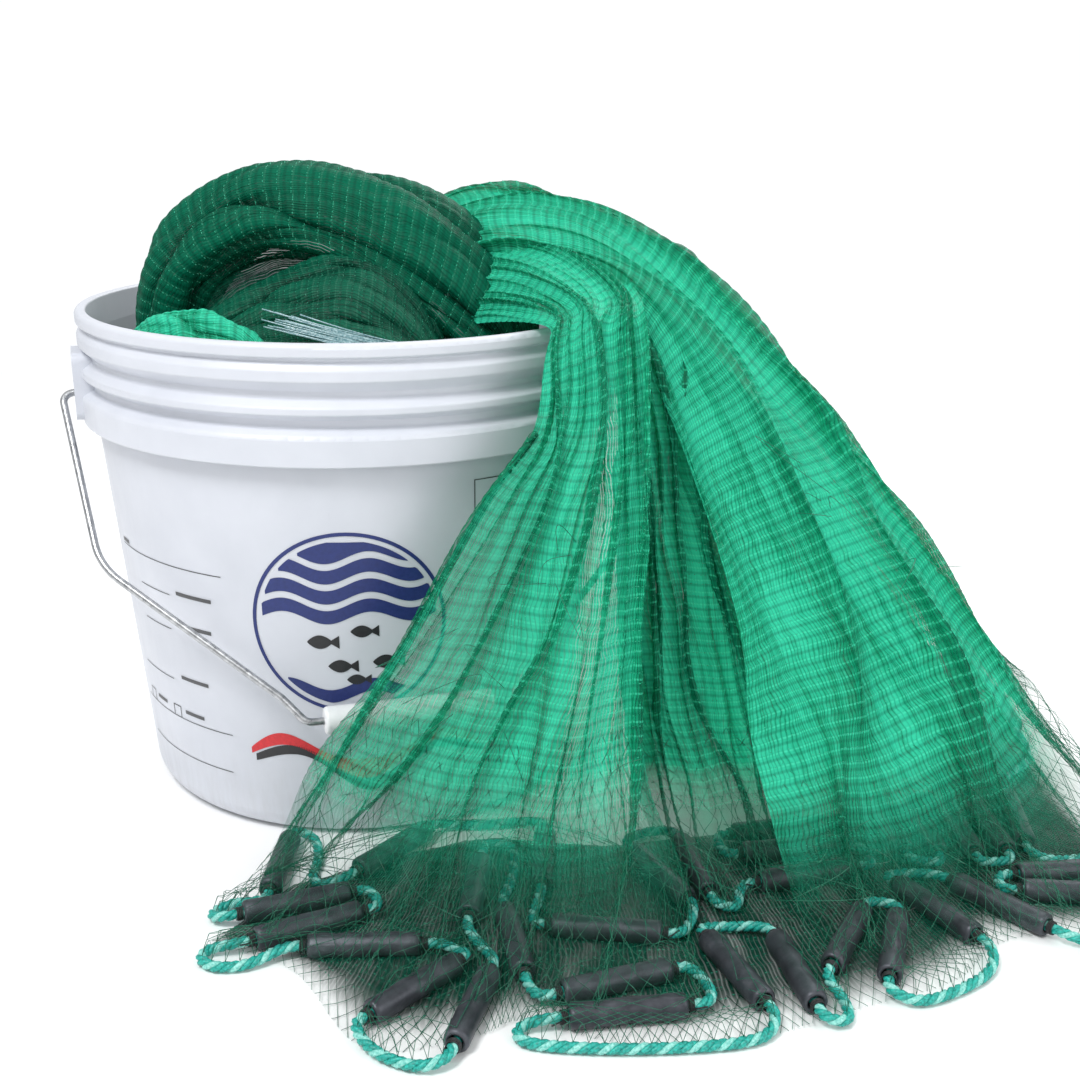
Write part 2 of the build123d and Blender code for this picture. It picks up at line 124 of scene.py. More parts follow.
# ---------------------------------------------------------------- materials
class Tree:
    """A small helper that adds nodes to a new material and links them."""

    def __init__(self, name):
        self.material = bpy.data.materials.new(name)
        self.material.use_nodes = True
        self.nodes = self.material.node_tree.nodes
        self.shader = self.nodes["Principled BSDF"]
        self.output = self.nodes["Material Output"]

    def add(self, kind, **settings):
        """Adds a node; settings are its properties, and inputs by name under `inputs`."""
        node = self.nodes.new(kind)
        inputs = settings.pop("inputs", {})
        for key, value in settings.items():
            setattr(node, key, value)
        for key, value in inputs.items():
            self.put(value, node.inputs[key])
        return node

    def put(self, value, socket):
        """Links a socket to another, or sets its constant; a colour is given without its alpha of 1."""
        if isinstance(value, bpy.types.NodeSocket):
            self.material.node_tree.links.new(value, socket)
        else:
            socket.default_value = (*value, 1) if socket.type == "RGBA" else value

    def times(self, a, b):
        return self.math("MULTIPLY", a, b)

    def plus(self, a, b):
        return self.math("ADD", a, b)

    def math(self, operation, a, b=0.0, clamp=False):
        node = self.add("ShaderNodeMath", operation=operation, use_clamp=clamp)
        self.put(a, node.inputs[0])
        self.put(b, node.inputs[1])
        return node.outputs[0]

    def noise(self, vector, scale, detail=3.0, roughness=0.5):
        inputs = {"Vector": vector, "Scale": scale, "Detail": detail, "Roughness": roughness}
        return self.add("ShaderNodeTexNoise", inputs=inputs).outputs["Fac"]

    def ramp(self, factor, stops):
        """A colour ramp from (position, colour) stops."""
        node = self.add("ShaderNodeValToRGB", inputs={"Fac": factor})
        elements = node.color_ramp.elements
        while len(elements) < len(stops):
            elements.new(0.5)
        for element, (place, colour) in zip(elements, stops):
            element.position = place
            element.color = (*colour, 1)
        return node.outputs["Color"]

    def span(self, value, low, high, to_low=0.0, to_high=1.0):
        names = {"From Min": low, "From Max": high, "To Min": to_low, "To Max": to_high, "Value": value}
        return self.add("ShaderNodeMapRange", inputs=names).outputs["Result"]

    def mix(self, factor, a, b):
        node = self.add("ShaderNodeMix", data_type="RGBA")
        self.put(factor, node.inputs[0])
        self.put(a, node.inputs[6])
        self.put(b, node.inputs[7])
        return node.outputs[2]

    def place(self):
        return self.add("ShaderNodeTexCoord").outputs["Object"]

    def cloth(self):
        """Separate u and v of the cloth, in millimetres, as stored on the mesh."""
        stored = self.add("ShaderNodeAttribute", attribute_name="cloth").outputs["Vector"]
        split = self.add("ShaderNodeSeparateXYZ", inputs={"Vector": stored})
        return stored, split.outputs["X"], split.outputs["Y"]

    def bump(self, height, strength, distance):
        inputs = {"Height": height, "Strength": strength, "Distance": distance}
        node = self.add("ShaderNodeBump", inputs=inputs)
        self.put(node.outputs["Normal"], self.shader.inputs["Normal"])

    def stretched(self, vector, scale):
        inputs = {"Vector": vector, "Scale": scale}
        return self.add("ShaderNodeMapping", inputs=inputs).outputs[0]

    def set(self, **values):
        names = {"colour": "Base Color", "roughness": "Roughness", "metal": "Metallic",
                 "specular": "Specular IOR Level"}
        for key, value in values.items():
            self.put(value, self.shader.inputs[names[key]])


HEM_COVER = 0.05


def netting(name, row, strand, light, mid, deep, cover, gloss=0.14):
    """Fine knotted netting: strands run along v, and rows of knots across it every `row` millimetres.

    Gathered ridges are bright and close, and the hollows between them deep and open, by the mesh attribute
    `ridge`: the bright ridges are a painted highlight and the deep hollows painted shade. The meshes open
    towards the hem, and darken there with painted shade, as the attribute `hem` goes from 0 to 1. `strand` is
    the gap between strands in millimetres, and `cover` how much of the view one layer blocks.
    """
    tree = Tree(name)
    hem = tree.add("ShaderNodeAttribute", attribute_name="hem").outputs["Fac"]
    ridge = tree.add("ShaderNodeAttribute", attribute_name="ridge").outputs["Fac"]
    stored, across, along = tree.cloth()
    wander = tree.times(tree.math("SUBTRACT", tree.noise(stored, 0.035, 2.0), 0.5), 9.0)
    shifted = tree.plus(across, wander)
    strands = tree.math("ABSOLUTE", tree.math("SINE", tree.times(shifted, pi / strand)))
    rows = tree.math("ABSOLUTE", tree.math("COSINE", tree.times(along, pi / row)))
    knots = tree.span(rows, 0.955, 0.992)
    streak = tree.span(tree.noise(tree.stretched(stored, (1.0, 0.035, 1.0)), 0.40, 4.0, 0.7), 0.30, 0.70)
    patch = tree.noise(stored, 0.022, 3.0)
    grain = tree.noise(stored, 0.9, 2.0)
    # Painted highlight and painted shade: `ridge` lightens the ridges and darkens the hollows; the streaks,
    # patches and strands add tone.
    shade = tree.plus(tree.times(ridge, 0.50), tree.times(streak, 0.30))
    shade = tree.plus(shade, tree.times(patch, 0.30))
    shade = tree.plus(shade, tree.times(strands, 0.10))
    colour = tree.ramp(shade, [(0.28, deep), (0.55, mid), (0.84, light)])
    knot_mask = tree.times(knots, tree.span(strands, 0.2, 0.7, 0.25, 1.0))
    # Painted highlight: the knots are mixed towards a paler, whiter green.
    pale = tuple(min(1.0, 1.25 * level + 0.03) for level in light)
    colour = tree.mix(tree.times(knot_mask, 0.55), colour, pale)
    # Painted shadow: a thin dark line just below each row of knots.
    under = tree.math("SINE", tree.times(tree.plus(along, -0.17 * row), 2 * pi / row))
    colour = tree.mix(tree.span(under, 0.55, 1.0, 0.0, 0.35), colour, deep)
    # Painted shade: the colour darkens towards the hem, by the floor.
    colour = tree.mix(tree.span(hem, 0.0, 0.7, 0.0, 0.72), colour, tuple(1.5 * level for level in deep))
    tree.set(colour=colour, roughness=tree.span(grain, 0.2, 0.8, 0.34, 0.56), specular=gloss)
    tree.bump(tree.plus(tree.times(strands, 0.5), knot_mask), 0.5, 0.0005)
    glow = tree.add("ShaderNodeBsdfTranslucent", inputs={"Color": colour})
    body = tree.add("ShaderNodeMixShader", inputs={"Fac": 0.28})
    tree.put(tree.shader.outputs[0], body.inputs[1])
    tree.put(glow.outputs[0], body.inputs[2])
    weave = tree.span(strands, 0.05, 0.75, cover - 0.30, cover + 0.04)
    weave = tree.math("ADD", weave, tree.span(shade, 0.35, 0.85, -0.26, 0.14), clamp=True)
    weave = tree.times(weave, tree.span(hem, 0.0, 1.0, 1.0, HEM_COVER))
    knot_cover = tree.times(knot_mask, tree.span(hem, 0.0, 1.0, 0.75, 0.08))
    opening = tree.math("MAXIMUM", weave, knot_cover, clamp=True)
    veil = tree.add("ShaderNodeMixShader", inputs={"Fac": opening})
    tree.put(tree.add("ShaderNodeBsdfTransparent").outputs[0], veil.inputs[1])
    tree.put(body.outputs[0], veil.inputs[2])
    tree.put(veil.outputs[0], tree.output.inputs["Surface"])
    return tree.material


# The netting's greens, each kind from its lit ridges (plain name) through _MID to its hollows (_DEEP), as
# painted highlight and painted shade. Most kinds are lit and shaded copies of one green.
LIGHT = (0.026, 0.560, 0.320)
MID = (0.004, 0.270, 0.135)
DEEP = (0.0010, 0.066, 0.036)
# Painted light: a brighter copy of the green, for the falls and the tuft outside the pail.
BRIGHT = (0.040, 0.680, 0.420)
BRIGHT_MID = (0.006, 0.350, 0.180)
BRIGHT_DEEP = (0.0010, 0.080, 0.042)
SHADE_MID = (0.003, 0.200, 0.100)
THIN_MID = (0.002, 0.160, 0.080)
# Painted shade: a darker copy of the green, for the netting inside the pail.
SHADED_INSIDE = (0.004, 0.140, 0.078)
SHADED_INSIDE_MID = (0.0010, 0.064, 0.036)
# Painted shade: the darkest copy of the green, for the meshes on the floor under the falls.
FLOOR_LIGHT = (0.002, 0.070, 0.042)
FLOOR_MID = (0.0008, 0.034, 0.022)
FLOOR_DEEP = (0.0004, 0.014, 0.010)
EMERALD = (0.0015, 0.148, 0.080)
EMERALD_MID = (0.0006, 0.074, 0.039)
NIGHT = (0.0005, 0.036, 0.022)
net_emerald = netting("net_emerald", 7.0, 1.35, EMERALD, EMERALD_MID, NIGHT, 1.06, gloss=0.07)
net_shaded_inside = netting("net_shaded_inside", 6.4, 1.35, SHADED_INSIDE, SHADED_INSIDE_MID, NIGHT, 1.05)
net_shade = netting("net_shade", 6.6, 1.35, LIGHT, SHADE_MID, DEEP, 1.26)
net_floor = netting("net_floor", 5.6, 2.2, FLOOR_LIGHT, FLOOR_MID, FLOOR_DEEP, 0.86)
net_bright = netting("net_bright", 7.4, 1.25, BRIGHT, BRIGHT_MID, BRIGHT_DEEP, 0.96)
net_thin = netting("net_thin", 5.6, 1.8, MID, THIN_MID, DEEP, 0.74)


def thread_material(name, light, deep, roughness=0.4):
    tree = Tree(name)
    fleck = tree.noise(tree.place(), 900.0, 2.0)
    tree.set(colour=tree.ramp(fleck, [(0.3, deep), (0.7, light)]), roughness=roughness, specular=0.5)
    return tree.material


knot_paint = thread_material("knot", (0.075, 0.62, 0.40), (0.012, 0.32, 0.18), 0.35)
# Painted shade: a darker copy of the knots' green, for the knots on the shaded sheets.
knot_shaded = thread_material("knot_shaded", (0.030, 0.33, 0.20), (0.005, 0.15, 0.085), 0.35)
wisp_paint = thread_material("wisp", (0.008, 0.190, 0.105), (0.0015, 0.060, 0.034), 0.35)
brail_paint = thread_material("brail", (0.42, 0.58, 0.60), (0.10, 0.24, 0.27), 0.22)
tie_paint = thread_material("tie", (0.030, 0.030, 0.032), (0.006, 0.006, 0.007), 0.6)


def pail_plastic():
    """White moulded plastic: faint mottling, scuffs, and grime that gathers low on the wall."""
    tree = Tree("pail_plastic")
    place = tree.place()
    mottle = tree.noise(place, 26.0, 4.0)
    scuff = tree.noise(tree.stretched(place, (60, 60, 9)), 3.0, 6.0, 0.7)
    base = tree.ramp(mottle, [(0.3, (0.585, 0.606, 0.660)), (0.7, (0.640, 0.660, 0.715))])
    height = tree.add("ShaderNodeSeparateXYZ", inputs={"Vector": place}).outputs["Z"]
    grime = tree.times(tree.span(height, 0.0, 0.05, 0.35, 0.0), tree.span(scuff, 0.4, 0.7))
    base = tree.mix(grime, base, (0.42, 0.42, 0.41))
    base = tree.mix(tree.span(scuff, 0.66, 0.74, 0.0, 0.22), base, (0.48, 0.50, 0.53))
    tree.set(colour=base, roughness=tree.span(scuff, 0.3, 0.75, 0.28, 0.5), specular=0.5)
    tree.bump(tree.noise(place, 700.0, 2.0), 0.06, 0.0003)
    return tree.material


def lead_metal():
    """Cast lead: dull dark grey, with lighter rubbed edges and small dents."""
    tree = Tree("lead_metal")
    place = tree.place()
    cast = tree.noise(place, 90.0, 6.0, 0.65)
    dent = tree.noise(place, 420.0, 3.0)
    wear = tree.span(tree.add("ShaderNodeNewGeometry").outputs["Pointiness"], 0.50, 0.56)
    dull, plain, clean = (0.036, 0.039, 0.047), (0.075, 0.080, 0.094), (0.150, 0.156, 0.178)
    rubbed = (0.36, 0.37, 0.39)
    tone = tree.ramp(cast, [(0.28, dull), (0.55, plain), (0.8, clean)])
    tree.set(colour=tree.mix(tree.times(wear, 0.6), tone, rubbed), metal=0.55,
             roughness=tree.span(cast, 0.3, 0.7, 0.34, 0.55))
    tree.bump(tree.plus(cast, tree.times(dent, 0.4)), 0.35, 0.0006)
    return tree.material


def simple(name, low, high, scale, roughness, metal=0.0, bump=0.1):
    """A plain material whose colour and roughness both vary with a fine noise."""
    tree = Tree(name)
    place = tree.place()
    grain = tree.noise(place, scale, 5.0, 0.6)
    tree.set(colour=tree.ramp(grain, [(0.3, low), (0.7, high)]), metal=metal,
             roughness=tree.span(grain, 0.3, 0.7, roughness * 0.8, roughness * 1.25))
    tree.bump(grain, bump, 0.0004)
    return tree.material


white_plastic = pail_plastic()
lead_paint = lead_metal()
steel = simple("bail_steel", (0.30, 0.31, 0.32), (0.62, 0.63, 0.64), 320.0, 0.32, 1.0)
grip_plastic = simple("grip_plastic", (0.74, 0.76, 0.77), (0.86, 0.87, 0.88), 120.0, 0.35)
horn_plastic = simple("horn_plastic", (0.66, 0.68, 0.66), (0.80, 0.81, 0.79), 90.0, 0.4)
brass = simple("swivel_brass", (0.30, 0.20, 0.07), (0.62, 0.46, 0.18), 260.0, 0.34, 1.0)
teal_fibre = thread_material("teal_fibre", (0.024, 0.500, 0.410), (0.004, 0.190, 0.160), 0.45)
mint_fibre = thread_material("mint_fibre", (0.36, 0.78, 0.69), (0.10, 0.46, 0.40), 0.5)


def paint(node, material):
    """Gives a CAD node's object a finished material."""
    slots = nodes[node].data.materials
    slots.clear()
    slots.append(material)


HARD_NODES = {
    "pail": white_plastic,
    "bail_wire": steel,
    "bail_grip": grip_plastic,
    "horn": horn_plastic,
    "horn_lashing": tie_paint,
    "swivel_barrel": brass,
    "swivel_brail_eye": brass,
    "swivel_line_eye": brass,
}
for node in nodes:
    if node.startswith("lead_") and node != "lead_line":
        paint(node, lead_paint)
for node, material in HARD_NODES.items():
    paint(node, material)


# ---------------------------------------------------------------- mesh helpers
def new_piece(name, points, faces, materials, smooth=True, indices=None):
    """A visible piece of the root body; `indices` gives each face's material."""
    mesh = bpy.data.meshes.new(name)
    mesh.from_pydata([tuple(p) for p in points], [], [tuple(f) for f in faces])
    for material in materials:
        mesh.materials.append(material)
    if indices is not None:
        mesh.polygons.foreach_set("material_index", np.asarray(indices, dtype=np.int32))
    if smooth:
        mesh.polygons.foreach_set("use_smooth", np.ones(len(mesh.polygons), dtype=bool))
    mesh.update()
    piece = bpy.data.objects.new(name, mesh)
    bpy.context.collection.objects.link(piece)
    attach(piece, "pail_and_net")
    return piece


def along_spline(points, count):
    """Points evenly spread in parameter along a Catmull-Rom curve through the given points."""
    points = np.asarray(points, dtype=float)
    padded = np.concatenate([2 * points[:1] - points[1:2], points, 2 * points[-1:] - points[-2:-1]])
    places = np.linspace(0, len(points) - 1 - 1e-9, count)
    step = places.astype(int)
    t = (places - step).reshape(-1, *([1] * (points.ndim - 1)))
    p0, p1, p2, p3 = (padded[step + k] for k in range(4))
    return 0.5 * (2 * p1 + (p2 - p0) * t + (2 * p0 - 5 * p1 + 4 * p2 - p3) * t**2
                  + (3 * p1 - p0 - 3 * p2 + p3) * t**3)


def unit(vectors):
    """The same directions, each one unit long."""
    return vectors / np.maximum(np.linalg.norm(vectors, axis=-1, keepdims=True), 1e-9)


def surface_normals(grid):
    return unit(np.cross(np.gradient(grid, axis=0), np.gradient(grid, axis=1)))


def spacing(grid, axis):
    """The distances from each point of a grid to the next one along an axis."""
    return np.linalg.norm(np.diff(grid, axis=axis), axis=2)


def reach_along(grid, axis):
    """How far along the cloth each row or column lies, on average, from the first one."""
    return np.concatenate([[0], np.cumsum(spacing(grid, axis).mean(axis=1 - axis))])


def gathers(u, v, pleats, seed):
    """How far the gathers push the cloth at (u, v): outwards, and sideways so that each ridge leans over.

    `pleats` is a list of (how many across the sheet, how deep in millimetres), from the large to the fine.
    """
    dice = np.random.default_rng(seed)
    out, lean = np.zeros_like(u), np.zeros_like(u)
    for count, depth in pleats:
        phase, drift = dice.uniform(0, 1), dice.uniform(-0.6, 0.6)
        swing, bend = dice.uniform(0.15, 0.5), dice.uniform(0, 6.28)
        lane = count * u + phase + drift * v + swing * np.sin(bend + 4.2 * v + 2.1 * u)
        lane += 0.16 * np.sin(11.3 * v + 6.0 * u + 2 * bend) + 0.07 * np.sin(23.0 * v - 9.0 * u + bend)
        swell = 0.62 + 0.26 * np.sin(5.1 * v + 9 * u + bend) + 0.14 * np.sin(15.7 * v - 21 * u + phase * 9)
        out += depth * swell * (np.sqrt(np.cos(pi * lane) ** 2 + 0.015) - 0.64)
        lean += 0.42 * depth * swell * np.sin(2 * pi * lane)
    return out, lean


def sheet_grid(rails, across, along, pleats, seed, row, ripple, flare=(1.0, 1.0)):
    """The cloth's grid of points: rails blended across, pushed out by gathers and by the ripple of its rows.

    Returns the grid, its cloth coordinates in millimetres, its unit normals, how far each point is up its
    ridge (0 to 1), and the sheet's flat size. `flare` scales the gathers at the rails' start and end.
    """
    rails = np.asarray(rails, dtype=float)
    lengthwise = along_spline(rails.transpose(1, 0, 2), along)
    grid = along_spline(lengthwise.transpose(1, 0, 2), across)
    u, v = np.meshgrid(np.linspace(0, 1, across), np.linspace(0, 1, along), indexing="ij")
    grow = flare[0] + (flare[1] - flare[0]) * v
    out, lean = gathers(u, v, pleats, seed)
    side = unit(np.gradient(grid, axis=0))
    grid = grid + surface_normals(grid) * (out * grow)[..., None] + side * (lean * grow)[..., None]
    cloth_u, cloth_v = np.meshgrid(reach_along(grid, 0), reach_along(grid, 1), indexing="ij")
    dice = np.random.default_rng(seed + 50)
    slow_sway = 2.2 * np.sin(cloth_u / 23.0 + dice.uniform(0, 6))
    quick_sway = 1.2 * np.sin(cloth_u / 9.0 + dice.uniform(0, 6))
    cloth_v = cloth_v + slow_sway + quick_sway
    normal = surface_normals(grid)
    grid = grid + normal * (ripple * np.abs(np.sin(pi * cloth_v / row)) - ripple)[..., None]
    widest, longest = (spacing(grid, axis).sum(axis=axis).max() for axis in (0, 1))
    ridge = (out - out.min()) / max(out.max() - out.min(), 1e-9)
    return grid, cloth_u, cloth_v, normal, ridge, (widest, longest)


hem_rows = []
SHEER_OPENING = 0.30
MESH_WIDTH = 8.0
KNOTS_MISSING = 0.14
KNOT_HALF_WIDTH, KNOT_HEIGHT = 0.26, 0.34
TWINE_RADIUS = 0.17
FINE_TWINE_SIDES = 3


def cloth_piece(name, rails, material, pleats, seed, size, row, ripple=0.5, flare=(1.0, 1.0), knot_gap=2.4,
                replaces=(), hem=0.0, knot=knot_paint, thin_side=0.0):
    """One gathered sheet of netting, with its rows of knots as a second piece.

    `size` counts the grid's points across and along, `row` is the gap between rows of knots, `hem` the length
    over which the meshes open, and `thin_side` the share of the width that is sheer lower down.
    """
    grid, cloth_u, cloth_v, normal, ridge, flat = sheet_grid(rails, *size, pleats, seed, row, ripple, flare)
    wide, long = size
    index = np.arange(wide * long).reshape(wide, long)
    faces = np.stack([index[:-1, :-1], index[1:, :-1], index[1:, 1:], index[:-1, 1:]], axis=-1).reshape(-1, 4)
    piece = new_piece(name, grid.reshape(-1, 3) * MM, faces, [material])
    stored = piece.data.attributes.new("cloth", "FLOAT_VECTOR", "POINT")
    values = np.stack([cloth_u, cloth_v, np.full_like(cloth_u, seed * 40.0)], axis=-1).reshape(-1, 3)
    stored.data.foreach_set("vector", values.astype(np.float32).ravel())
    opening = np.clip(1.5 * (cloth_v - cloth_v.max() + hem) / max(hem, 1.0), 0, 1)
    if thin_side:
        share_u, share_v = np.meshgrid(np.linspace(0, 1, wide), np.linspace(0, 1, long), indexing="ij")
        sheer = np.clip(1.15 - share_u / thin_side, 0, 1) * np.clip((share_v - 0.38) / 0.25, 0, 1)
        opening = np.maximum(opening, SHEER_OPENING * sheer)
    for title, level in (("hem", opening), ("ridge", ridge)):
        stored = piece.data.attributes.new(title, "FLOAT", "POINT")
        stored.data.foreach_set("value", level.astype(np.float32).ravel())
    if replaces:
        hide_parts(*replaces)
    add_knots(name + "_knots", grid, cloth_u, cloth_v, normal, opening, row, knot_gap, seed, knot)
    if hem:
        add_lattice(name + "_meshes", grid + normal * 0.3, flat, hem)
        hem_rows.append(grid[::3, int(long * (1 - 0.30 * hem / flat[1]))])


def add_lattice(name, grid, flat, hem):
    """The open diamond meshes near the hem, as fine twine on the cloth."""
    wide, long = grid.shape[:2]
    start = 1 - 1.15 * hem / flat[1]
    count = int(flat[0] / MESH_WIDTH)
    slope = (1 - start) * flat[1] / flat[0] * 0.55
    parts = []
    for number in range(-6, count + 6):
        for lean in (-1, 1):
            v = np.linspace(start, 0.998, 22)
            u = number / count + lean * slope * (v - start) / (1 - start)
            inside = (u > 0) & (u < 1)
            if inside.sum() < 3:
                continue
            x, y = u[inside] * (wide - 1), v[inside] * (long - 1)
            i, j = x.astype(int).clip(0, wide - 2), y.astype(int).clip(0, long - 2)
            fx, fy = (x - i)[:, None], (y - j)[:, None]
            here = grid[i, j] * (1 - fx) + grid[i + 1, j] * fx
            beyond = grid[i, j + 1] * (1 - fx) + grid[i + 1, j + 1] * fx
            parts.append(tube(here * (1 - fy) + beyond * fy, TWINE_RADIUS, FINE_TWINE_SIDES))
    points, faces, _ = merge(parts)
    new_piece(name, points * MM, faces, [wisp_paint])


def add_knots(name, grid, cloth_u, cloth_v, normal, opening, row, gap, seed, material):
    """Small raised knots: one at each strand, where it crosses a row."""
    dice = np.random.default_rng(seed + 900)
    wide, long = cloth_u.shape
    columns = np.arange(1, int(cloth_u.max() / gap)) * gap
    centres, outs, sides = [], [], []
    for place in columns:
        column = np.searchsorted(cloth_u[:, 0], place)
        column = min(max(column, 1), wide - 2)
        lane = cloth_v[column]
        if not np.all(np.diff(lane) > 0):
            continue
        levels = np.arange(np.ceil(lane.min() / row), np.floor(lane.max() / row)) * row
        spots = np.interp(levels, lane, np.arange(long))
        keep = dice.uniform(size=len(spots)) > KNOTS_MISSING
        low = spots[keep].astype(int).clip(1, long - 2)
        low = low[opening[column, low] < 0.5]
        centres.append(grid[column, low])
        outs.append(normal[column, low])
        sides.append(grid[column + 1, low] - grid[column - 1, low])
    if not centres:
        return
    centres, outs, sides = np.concatenate(centres), np.concatenate(outs), unit(np.concatenate(sides))
    forward = np.cross(outs, sides) * KNOT_HALF_WIDTH
    sideways = sides * (gap * 0.27 * dice.uniform(0.7, 1.2, len(centres)))[:, None]
    up = outs * KNOT_HEIGHT
    corners = [centres + sideways, centres + forward, centres - sideways, centres - forward, centres + up,
               centres - up]
    points = np.stack(corners, axis=1).reshape(-1, 3)
    shape = np.array([(0, 1, 4), (1, 2, 4), (2, 3, 4), (3, 0, 4), (1, 0, 5), (2, 1, 5), (3, 2, 5), (0, 3, 5)])
    faces = (shape[None] + 6 * np.arange(len(centres))[:, None, None]).reshape(-1, 3)
    new_piece(name, points * MM, faces, [material], smooth=False)


def tube(points, radius, sides):
    """Points and faces of a closed thin tube along a polyline, with a twist-free frame."""
    points = np.asarray(points, dtype=float)
    tangent = np.gradient(points, axis=0)
    tangent /= np.maximum(np.linalg.norm(tangent, axis=1, keepdims=True), 1e-12)
    up = np.array([0, 0, 1.0]) if abs(tangent[0][2]) < 0.9 else np.array([1.0, 0, 0])
    rings = []
    side = np.cross(tangent[0], up)
    angle = np.linspace(0, 2 * pi, sides, endpoint=False)[:, None]
    for point, along in zip(points, tangent):
        side = side - along * (side @ along)
        side /= max(np.linalg.norm(side), 1e-9)
        other = np.cross(along, side)
        rings.append(point + radius * (np.cos(angle) * side + np.sin(angle) * other))
    grid = np.concatenate(rings)
    faces = []
    for ring in range(len(points) - 1):
        for k in range(sides):
            a, b = ring * sides + k, ring * sides + (k + 1) % sides
            faces.append((a, b, b + sides, a + sides))
    faces.append(tuple(range(sides))[::-1])
    faces.append(tuple(len(points) * sides - sides + k for k in range(sides)))
    return grid, faces


def merge(parts):
    """Joins (points, faces) lists into one, and says which part each face is from."""
    points, faces, owners, base = [], [], [], 0
    for number, (part_points, part_faces) in enumerate(parts):
        points.append(np.asarray(part_points))
        faces.extend(tuple(i + base for i in face) for face in part_faces)
        owners.extend([number] * len(part_faces))
        base += len(part_points)
    return np.concatenate(points), faces, owners


# ---------------------------------------------------------------- netting
# Each sheet is blended across its rails. A rail is a given line down the cloth, in millimetres.
# The arch that stands up in the pail.
ARCH = [
    [(-80, 10, 226), (-84, 12, 262), (-70, 12, 294), (-36, 10, 314),
     (8, 2, 306), (44, -10, 284), (74, -26, 250), (80, -30, 220)],
    [(-90, 40, 226), (-98, 42, 268), (-80, 42, 305), (-40, 40, 329),
     (8, 34, 324), (52, 24, 300), (84, 8, 262), (90, 0, 226)],
    [(-110, 20, 226), (-117, 22, 273), (-98, 22, 318), (-52, 20, 345),
     (0, 14, 345), (54, 2, 328), (94, -14, 288), (102, -22, 236)],
    [(-114, -14, 226), (-118, -12, 272), (-98, -14, 318), (-50, -16, 348),
     (6, -22, 346), (62, -34, 324), (100, -50, 282), (107, -58, 236)],
    [(-98, -40, 232), (-102, -42, 268), (-86, -44, 302), (-46, -46, 325),
     (4, -54, 316), (52, -66, 288), (86, -78, 256), (93, -82, 226)],
    [(-80, -26, 228), (-82, -28, 262), (-68, -30, 288), (-36, -32, 304),
     (4, -38, 298), (44, -50, 272), (74, -62, 246), (82, -66, 220)],
]
# The shaded netting that hangs inside the arch.
CURTAIN = [
    [(-94, -34, 226), (-92, -30, 262), (-72, -26, 292), (-32, -22, 308),
     (14, -28, 300), (52, -40, 270), (74, -48, 232)],
    [(-88, -46, 222), (-80, -44, 248), (-58, -40, 272), (-26, -38, 286),
     (12, -42, 278), (44, -48, 254), (62, -54, 226)],
    [(-78, -52, 218), (-66, -54, 234), (-46, -52, 250), (-18, -52, 258),
     (12, -54, 250), (36, -56, 236), (50, -58, 218)],
]
# The fold that lies in the mouth, in front of the curtain.
FOLD = [
    [(-92, -44, 232), (-66, -34, 262), (-28, -32, 280), (8, -34, 284),
     (36, -42, 272), (58, -54, 246), (68, -60, 222)],
    [(-92, -56, 252), (-62, -48, 282), (-26, -46, 299), (8, -50, 308),
     (34, -58, 298), (56, -68, 268), (66, -74, 232)],
    [(-88, -76, 254), (-58, -76, 274), (-24, -78, 288), (8, -84, 294),
     (34, -92, 284), (56, -102, 260), (64, -104, 232)],
    [(-82, -92, 246), (-54, -98, 258), (-22, -105, 266), (8, -110, 268),
     (34, -114, 262), (54, -116, 248), (62, -114, 228)],
    [(-76, -94, 226), (-52, -102, 232), (-22, -108, 236), (8, -112, 236),
     (32, -116, 234), (52, -117, 228), (58, -114, 216)],
]
# The bright tuft at the rim, front left.
TUFT = [
    [(-112, -62, 254), (-92, -74, 268), (-64, -84, 272), (-42, -90, 264), (-28, -94, 250)],
    [(-110, -72, 268), (-90, -88, 281), (-62, -100, 285), (-38, -104, 276), (-24, -106, 258)],
    [(-106, -86, 266), (-86, -104, 277), (-60, -115, 279), (-36, -118, 270), (-22, -116, 254)],
    [(-100, -94, 250), (-82, -110, 256), (-58, -120, 257), (-36, -124, 252), (-22, -118, 244)],
]
# The large swath that leaves over the right of the rim.
CAPE = [
    [(20, -16, 262), (64, -40, 292), (108, -60, 298), (148, -92, 290), (172, -116, 250),
     (196, -138, 180), (220, -166, 105), (230, -204, 44), (232, -262, 10)],
    [(10, 2, 280), (60, -18, 318), (110, -32, 326), (156, -62, 312), (202, -86, 268),
     (248, -106, 195), (290, -138, 115), (312, -184, 46), (324, -242, 10)],
    [(4, 22, 292), (56, 4, 331), (106, -4, 337), (160, -30, 321), (216, -46, 276),
     (282, -58, 200), (340, -72, 120), (386, -108, 50), (424, -184, 12)],
    [(2, 38, 286), (52, 24, 328), (102, 18, 335), (158, 6, 316), (216, 0, 274),
     (286, 0, 198), (348, -4, 118), (396, -20, 54), (436, -80, 14)],
    [(0, 52, 270), (48, 42, 308), (98, 42, 318), (150, 40, 300), (206, 46, 262),
     (272, 60, 186), (336, 76, 110), (386, 86, 50), (434, 78, 14)],
    [(0, 58, 250), (44, 50, 286), (94, 52, 298), (138, 56, 282), (186, 70, 240),
     (246, 90, 160), (312, 114, 80), (352, 132, 40), (402, 148, 14)],
]
# The layer under the cape.
UNDERLAY = [
    [(70, -30, 280), (110, -46, 284), (144, -70, 274), (170, -92, 230),
     (196, -110, 160), (222, -136, 90), (236, -170, 40), (244, -214, 16)],
    [(68, 0, 296), (108, -8, 304), (154, -24, 292), (206, -40, 246),
     (266, -50, 170), (322, -66, 96), (352, -90, 44), (372, -140, 18)],
    [(66, 22, 288), (100, 26, 294), (142, 30, 278), (196, 34, 236),
     (256, 46, 164), (314, 58, 92), (352, 66, 42), (380, 60, 18)],
]
